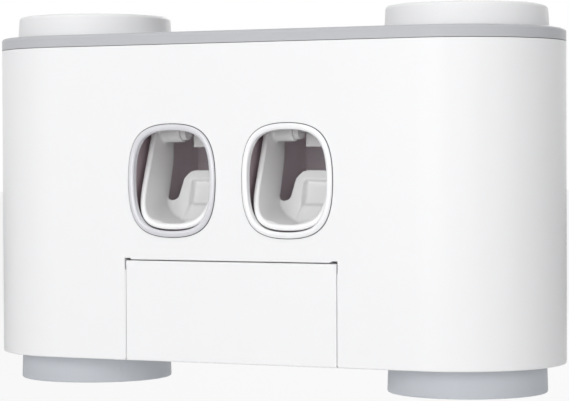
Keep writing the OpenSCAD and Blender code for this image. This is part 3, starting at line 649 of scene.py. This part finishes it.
@dataclass
class Ring:
    """Glossy ring round a window, with a dark strip in the gap between it and the body as a painted shadow
    line, in millimetres.
    """

    palette: Palette
    side: Side
    steps: int = 32
    outline: Squircle = Squircle(24.45, 28.35)
    seat: Squircle = Squircle(24.85, 28.75)
    face: float = -109.0
    section: Sequence[tuple[float, float]] = (
        (0.4, -0.55), (0.3, -0.05), (0.0, 0.15), (0.05, 0.45), (0.4, 0.75),
        (0.9, 0.92), (1.5, 0.985), (2.1, 0.93), (2.6, 0.76), (2.9, 0.5),
        (3.02, 0.15), (3.05, -0.6), (3.1, -2.3), (2.3, -2.3), (2.25, -0.9),
    )
    shadow_line_section: Sequence[tuple[float, float]] = (
        (-0.45, -0.5), (-0.45, -0.24), (-0.2, -0.16), (0.2, -0.16), (0.3, -0.24), (0.3, -0.5),
    )
    seat_section: Sequence[tuple[float, float]] = (
        (0.0, -0.5), (0.0, -0.04), (-0.1, 0.015), (-1.2, 0.02), (-1.3, -0.02), (-1.25, -0.5),
    )

    def place(self, obj: bpy.types.Object) -> None:
        """Stands a swept piece up in the body's front face, round the window's middle."""
        low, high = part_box(self.side.node("window_trim"))
        obj.rotation_euler = (math.radians(90.0), 0.0, 0.0)
        obj.location = ((low[0] + high[0]) / 2, self.face * MM, (low[2] + high[2]) / 2)
        settle(obj)
        bpy.ops.object.shade_smooth_by_angle(angle=EDGE_ANGLE)

    def build(self) -> None:
        """Makes the ring, the dark strip in its gap that paints its shadow line, and the flush seat round
        it.
        """
        trim = self.side.node("window_trim")
        # Painted shade: the left ring gets the darkened grey and the right ring stays white.
        gloss = RING_GREY_PAINTED_SHADE if self.side is Side.LEFT else RING_WHITE
        for part, outline, section, finish in (
            ("ring", self.outline, self.section, gloss),
            # The dark strip in the ring's gap is a painted shadow line.
            ("ring_gasket", self.outline, self.shadow_line_section, RING_SHADOW_LINE),
            ("ring_seat", self.seat, self.seat_section, SHELL_WHITE),
        ):
            path = outline.curve(self.side.node(part), self.steps)
            obj = sweep(path, section_curve("section", section))
            self.place(obj)
            obj.data.materials.clear()
            obj.data.materials.append(self.palette.get(finish))
            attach(obj, "housing")
            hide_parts(trim)
            LOG.info("%s: %d faces", obj.name, len(obj.data.polygons))


def ease(low: float, high: float, value: np.ndarray) -> np.ndarray:
    """Smooth step from 0 at low to 1 at high."""
    t = np.clip((value - low) / (high - low), 0.0, 1.0)
    return t * t * (3.0 - 2.0 * t)


@dataclass
class Scoop:
    """Soft-edged skin of a squeeze lever, in millimetres from the window's middle in the front face.

    The CAD lever is drawn out to the ring's width, its back wall goes deeper, and a round bead runs
    along the front edge. Y runs inwards. A pair of numbers says where a change begins and ends.
    """

    palette: Palette
    side: Side
    face: float = -109.0
    widen: float = 2.1
    widen_x: tuple[float, float] = (8.0, 17.4)
    half: float = 21.4
    bottom: float = -24.7
    bead: float = 1.6
    arm_top: float = 24.0
    arm_lead: float = 4.0
    arm_hold: float = 6.0
    knee: float = -2.0
    turn: float = 0.78
    front: tuple[float, float] = (4.2, -11.0)
    front_slope: float = 0.39
    back_foot: tuple[float, float] = (32.0, -8.0)
    back_lean: float = 17.1
    back_half: tuple[float, float] = (3.0, 4.0)
    back_shift: float = 3.0
    shift_y: tuple[float, float] = (12.0, 26.0)
    shift_z: tuple[float, float] = (8.0, 22.0)
    pocket_depth: float = 2.6
    pocket_side: tuple[float, float] = (6.3, 6.9)
    pocket_floor: tuple[float, float] = (-5.4, -4.8)
    pocket_top: tuple[float, float] = (7.4, 8.0)
    groove_depth: float = 1.5
    groove_half: float = 6.4
    groove_top: float = -4.0
    groove_reach: float = 12.0
    groove_spread: float = 0.25
    groove_edge: tuple[float, float] = (-0.3, 0.3)
    groove_end: tuple[float, float] = (-16.5, -14.0)
    voxel: float = 0.5
    soft_steps: int = 4

    def front_y(self, z: float) -> float:
        """Depth of the front edge at a height."""
        return self.front[0] + self.front_slope * (z - self.front[1])

    def middle(self) -> Vector:
        """The window's middle in the front face, in metres."""
        low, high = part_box(self.side.node("window_trim"))
        return Vector(((low[0] + high[0]) / 2, self.face * MM, (low[2] + high[2]) / 2))

    def remesh(self, obj: bpy.types.Object, smooth: int = 0) -> None:
        """Turns an object into one even closed skin.

        Args:
            obj: mesh object.
            smooth: smoothing steps that soften its edges.
        """
        pick(obj)
        skin = obj.modifiers.new("skin", "REMESH")
        skin.mode = "VOXEL"
        skin.voxel_size = self.voxel * MM
        bpy.ops.object.modifier_apply(modifier=skin.name)
        if smooth:
            soft = obj.modifiers.new("soft", "SMOOTH")
            soft.factor = 0.5
            soft.iterations = smooth
            bpy.ops.object.modifier_apply(modifier=soft.name)

    def shape(self, obj: bpy.types.Object) -> None:
        """Moves the skin's points: wider, a deeper back wall, and a deeper pocket with a groove below it."""
        points = np.empty(len(obj.data.vertices) * 3)
        obj.data.vertices.foreach_get("co", points)
        local = (points.reshape(-1, 3) - np.array(self.middle())) / MM
        x, y, z = local.T
        lean = math.radians(self.back_lean)
        up = (y - self.back_foot[0]) * math.sin(lean) + (z - self.back_foot[1]) * math.cos(lean)
        out = (z - self.back_foot[1]) * math.sin(lean) - (y - self.back_foot[0]) * math.cos(lean)
        on_wall = 1.0 - ease(*self.back_half, np.abs(out))
        side = np.abs(x)
        above = ease(*self.pocket_floor, up)
        pocket = (1.0 - ease(*self.pocket_side, side)) * above * (1.0 - ease(*self.pocket_top, up))
        drop = np.clip(self.groove_top - up, 0.0, self.groove_reach)
        past_edge = ease(*self.groove_edge, side - (self.groove_half + self.groove_spread * drop))
        groove = (1.0 - past_edge) * (1.0 - above) * ease(*self.groove_end, up)
        deeper = on_wall * (self.pocket_depth * pocket + self.groove_depth * groove)
        shift = self.back_shift * (1.0 - ease(*self.shift_z, z)) * ease(*self.shift_y, y)
        wider = np.sign(x) * self.widen * ease(*self.widen_x, side)
        local = np.stack((x + wider, y + shift + deeper, z), axis=1)
        points = (local * MM + np.array(self.middle())).ravel()
        obj.data.vertices.foreach_set("co", points)
        obj.data.update()

    def cut(self, obj: bpy.types.Object) -> None:
        """Cuts the skin back to the leaning plane that carries the bead."""
        pick(obj)
        bpy.ops.object.mode_set(mode="EDIT")
        bpy.ops.mesh.select_all(action="SELECT")
        at = self.middle() + world_point(0.0, self.front_y(0.0) + self.bead, 0.0)
        normal = (0.0, -1.0, self.front_slope)
        bpy.ops.mesh.bisect(plane_co=at, plane_no=normal, use_fill=True, clear_outer=True)
        bpy.ops.object.mode_set(mode="OBJECT")

    def rim(self) -> bpy.types.Object:
        """Makes the round bead along the front edge: down one arm, round the bottom and up the other."""
        half, low = self.half - self.bead, self.bottom + self.bead
        top, knee, turn = self.arm_top, self.knee, self.turn
        over, under = top + self.arm_lead, top - self.arm_hold
        above, below = knee + self.arm_hold, knee + (low - knee) * turn
        stops = (
            ((-half, top), (-half, over), (-half, under)),
            ((-half, knee), (-half, above), (-half, below)),
            ((0.0, low), (-half * turn, low), (half * turn, low)),
            ((half, knee), (half, below), (half, above)),
            ((half, top), (half, under), (half, over)),
        )
        data = bpy.data.curves.new("rim", "CURVE")
        data.dimensions = "3D"
        data.resolution_u = 24
        data.bevel_depth = self.bead * MM
        data.bevel_resolution = 5
        data.use_fill_caps = True
        spline = data.splines.new("BEZIER")
        spline.bezier_points.add(len(stops) - 1)
        for point, places in zip(spline.bezier_points, stops):
            point.handle_left_type = point.handle_right_type = "FREE"
            spots = [self.middle() + world_point(x, self.front_y(z) + self.bead, z) for x, z in places]
            point.co, point.handle_left, point.handle_right = spots
        obj = bpy.data.objects.new("rim", data)
        bpy.context.scene.collection.objects.link(obj)
        pick(obj)
        bpy.ops.object.convert(target="MESH")
        return obj

    def build(self) -> None:
        """Makes the skin and lets it stand for the CAD lever."""
        lever = self.side.node("squeeze_lever")
        obj = copy_node(lever, self.side.node("scoop"))
        self.remesh(obj)
        self.shape(obj)
        self.cut(obj)
        pick(obj, self.rim())
        bpy.ops.object.join()
        self.remesh(obj, self.soft_steps)
        bpy.ops.object.shade_smooth()
        obj.data.materials.clear()
        obj.data.materials.append(self.palette.get(LEVER_WHITE))
        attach(obj, self.side.node("lever"))
        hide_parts(lever)
        LOG.info("%s: %d faces", obj.name, len(obj.data.polygons))


@dataclass
class Squeezer:
    """One squeezer: ring, lever, chamber and pump. The piston's stroke is in metres and is not used."""

    palette: Palette
    side: Side
    stroke: float = 0.0065

    def dress(self) -> None:
        """Gives the squeezer's nodes their finishes."""
        p, n = self.palette, self.side.node
        Ring(p, self.side).build()
        Scoop(p, self.side).build()
        p.dress(CHAMBER_MAUVE_PAINTED_SHADE, n("squeezer_frame"))
        p.dress(PUMP_WHITE, n("pump_body"), n("pump_cap"), n("piston"))
        p.dress(SILICONE, n("tube_seal"), n("inlet_valve"), n("outlet_valve"), n("piston_seal"))
        p.dress(SCREW_STEEL, n("frame_screws"), n("pump_screws"), n("pivot_pin"))
        p.dress(SPRING_STEEL, n("return_spring"))
        self.spring()

    def spring(self) -> None:
        """Makes the return spring again as a piece of its own, fixed to the housing."""
        node = self.side.node("return_spring")
        obj = copy_node(node, self.side.node("coil"))
        bpy.ops.object.shade_smooth_by_angle(angle=WIRE_ANGLE)
        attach(obj, "housing")
        self.side.node("piston_slide")
        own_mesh(obj)
        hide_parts(node)


@dataclass
class CupPair:
    """The lidded upper cup and the hanging lower cup of one end."""

    palette: Palette
    side: Side

    def dress(self) -> None:
        """Gives the cups their finishes."""
        p, n = self.palette, self.side.node
        p.dress(LID_WHITE, n("cup_lid"))
        p.dress(CUP_WHITE, n("upper_cup"))
        p.dress(CUP_GREY, n("lower_cup"))
        p.dress(DISC_STEEL, n("cup_disc"))


@dataclass(frozen=True)
class Lamp:
    """One soft box, placed by its direction from the object and turned to face it."""

    name: str
    azimuth: float
    elevation: float
    distance: float
    size: tuple[float, float]
    watts: float

    def build(self) -> None:
        """Adds the lamp."""
        data = bpy.data.lights.new(self.name, "AREA")
        data.shape = "RECTANGLE"
        data.size, data.size_y = self.size
        data.energy = self.watts
        obj = bpy.data.objects.new(self.name, data)
        bpy.context.scene.collection.objects.link(obj)
        place = direction(self.azimuth, self.elevation) * self.distance
        obj.location = place
        obj.rotation_euler = (-place).to_track_quat("-Z", "Y").to_euler()


def direction(azimuth: float, elevation: float) -> Vector:
    """Unit vector towards a viewer.

    Args:
        azimuth: degrees round Z, 0 in front of the object and positive to its right.
        elevation: degrees above the horizon.

    Returns:
        The vector.
    """
    az, el = math.radians(azimuth), math.radians(elevation)
    return Vector((math.sin(az) * math.cos(el), -math.cos(az) * math.cos(el), math.sin(el)))


@dataclass
class Studio:
    """Camera, floor, world and lamps."""

    azimuth: float = 24.88
    elevation: float = 1.17
    distance: float = 1.116
    focus_px: float = 2260.0
    roll: float = -0.235
    aim: tuple[float, float, float] = (0.0279, -0.103, -0.0186)
    photo_width: int = 569
    floor_z: float = -0.24
    floor_radius: float = 14.0
    floor_glow: float = 0.85
    ambient: float = 0.295
    lamps: Sequence[Lamp] = (
        Lamp("front_box", -5.0, 8.0, 2.2, (1.2, 1.0), 13.4),
        Lamp("right_front_box", 30.0, 10.0, 2.2, (1.0, 1.0), 5.7),
        Lamp("left_front_box", -40.0, 10.0, 2.2, (1.0, 1.0), 2.6),
        Lamp("left_box", -78.0, 10.0, 2.2, (1.0, 1.2), 0.9),
        Lamp("right_box", 65.0, 10.0, 2.2, (1.0, 1.2), 4.1),
        Lamp("top_box", 10.0, 70.0, 2.0, (1.4, 1.4), 14.4),
        Lamp("rear_box", 185.0, 20.0, 2.2, (1.2, 1.0), 8.0),
    )

    def camera(self) -> None:
        """Places the camera as measured from the photograph."""
        roll = math.radians(self.roll)
        back = direction(self.azimuth, self.elevation)
        right = (-back).cross(Vector((0.0, 0.0, 1.0))).normalized()
        up = right.cross(-back)
        turned_right = right * math.cos(roll) + up * math.sin(roll)
        turned_up = up * math.cos(roll) - right * math.sin(roll)
        place = Vector(self.aim) + back * self.distance
        data = bpy.data.cameras.new("camera")
        data.sensor_width = 36.0
        data.lens = data.sensor_width * self.focus_px / self.photo_width
        data.clip_start, data.clip_end = 0.05, 100.0
        obj = bpy.data.objects.new("camera", data)
        bpy.context.scene.collection.objects.link(obj)
        axes = Matrix((turned_right, turned_up, back)).transposed().to_4x4()
        obj.matrix_world = Matrix.Translation(place) @ axes
        bpy.context.scene.camera = obj

    def floor(self) -> None:
        """Adds the plain pale floor below the object, which can be seen through from below."""
        bpy.ops.object.select_all(action="DESELECT")
        place = (0.0, 0.0, self.floor_z)
        bpy.ops.mesh.primitive_circle_add(
            vertices=96, radius=self.floor_radius, fill_type="NGON", location=place
        )
        obj = bpy.context.active_object
        obj.name = "floor"
        s = Shader("floor_white")
        s.set(Base_Color=s.tint((0.86, 0.86, 0.86), (0.9, 0.9, 0.9), s.noise(2.0)), Roughness=0.9)
        glow = s.add("Emission", Color=(1.0, 1.0, 1.0), Strength=1.0)
        path = s.add("LightPath", out="Is Camera Ray")
        mix = s.tree.nodes.new("ShaderNodeMixShader")
        plug(s.tree, mix.inputs[0], path * self.floor_glow)
        s.tree.links.new(s.bsdf.outputs[0], mix.inputs[1])
        plug(s.tree, mix.inputs[2], glow)
        hidden = s.tree.nodes.new("ShaderNodeMixShader")
        plug(s.tree, hidden.inputs[0], s.add("NewGeometry", out="Backfacing"))
        s.tree.links.new(mix.outputs[0], hidden.inputs[1])
        s.tree.links.new(s.add("BsdfTransparent").value, hidden.inputs[2])
        s.tree.links.new(hidden.outputs[0], s.output.inputs[0])
        obj.data.materials.append(s.material)

    def world(self) -> None:
        """Sets a white backdrop for the camera and an even ambient light for the rest."""
        world = bpy.data.worlds.new("studio")
        bpy.context.scene.world = world
        world.use_nodes = True
        tree = world.node_tree
        tree.nodes.clear()
        path = tree.nodes.new("ShaderNodeLightPath")
        shown = tree.nodes.new("ShaderNodeBackground")
        shown.inputs["Strength"].default_value = 1.0
        shown.inputs["Color"].default_value = (1.0, 1.0, 1.0, 1.0)
        fill = tree.nodes.new("ShaderNodeBackground")
        fill.inputs["Color"].default_value = (0.98, 0.985, 1.0, 1.0)
        fill.inputs["Strength"].default_value = self.ambient
        mix = tree.nodes.new("ShaderNodeMixShader")
        out = tree.nodes.new("ShaderNodeOutputWorld")
        seen = Wire(tree, path.outputs["Is Camera Ray"])
        for kind in ("Is Glossy Ray", "Is Transmission Ray"):
            seen = seen + Wire(tree, path.outputs[kind])
        plug(tree, mix.inputs[0], seen.clamp())
        tree.links.new(fill.outputs[0], mix.inputs[1])
        tree.links.new(shown.outputs[0], mix.inputs[2])
        tree.links.new(mix.outputs[0], out.inputs[0])

    def build(self) -> None:
        """Sets up the whole studio."""
        self.camera()
        self.floor()
        self.world()
        for lamp in self.lamps:
            lamp.build()
        bpy.context.scene.view_settings.view_transform = "Standard"


def main() -> None:
    """Builds every sub-assembly and the studio."""
    logging.basicConfig(level=logging.INFO, format="%(name)s: %(message)s")
    palette = Palette()
    Studio().build()
    Housing(palette).dress()
    WallMount(palette).dress()
    Flap(palette).dress()
    for side in Side:
        Squeezer(palette, side).dress()
        CupPair(palette, side).dress()


if __name__ == "__main__":
    main()
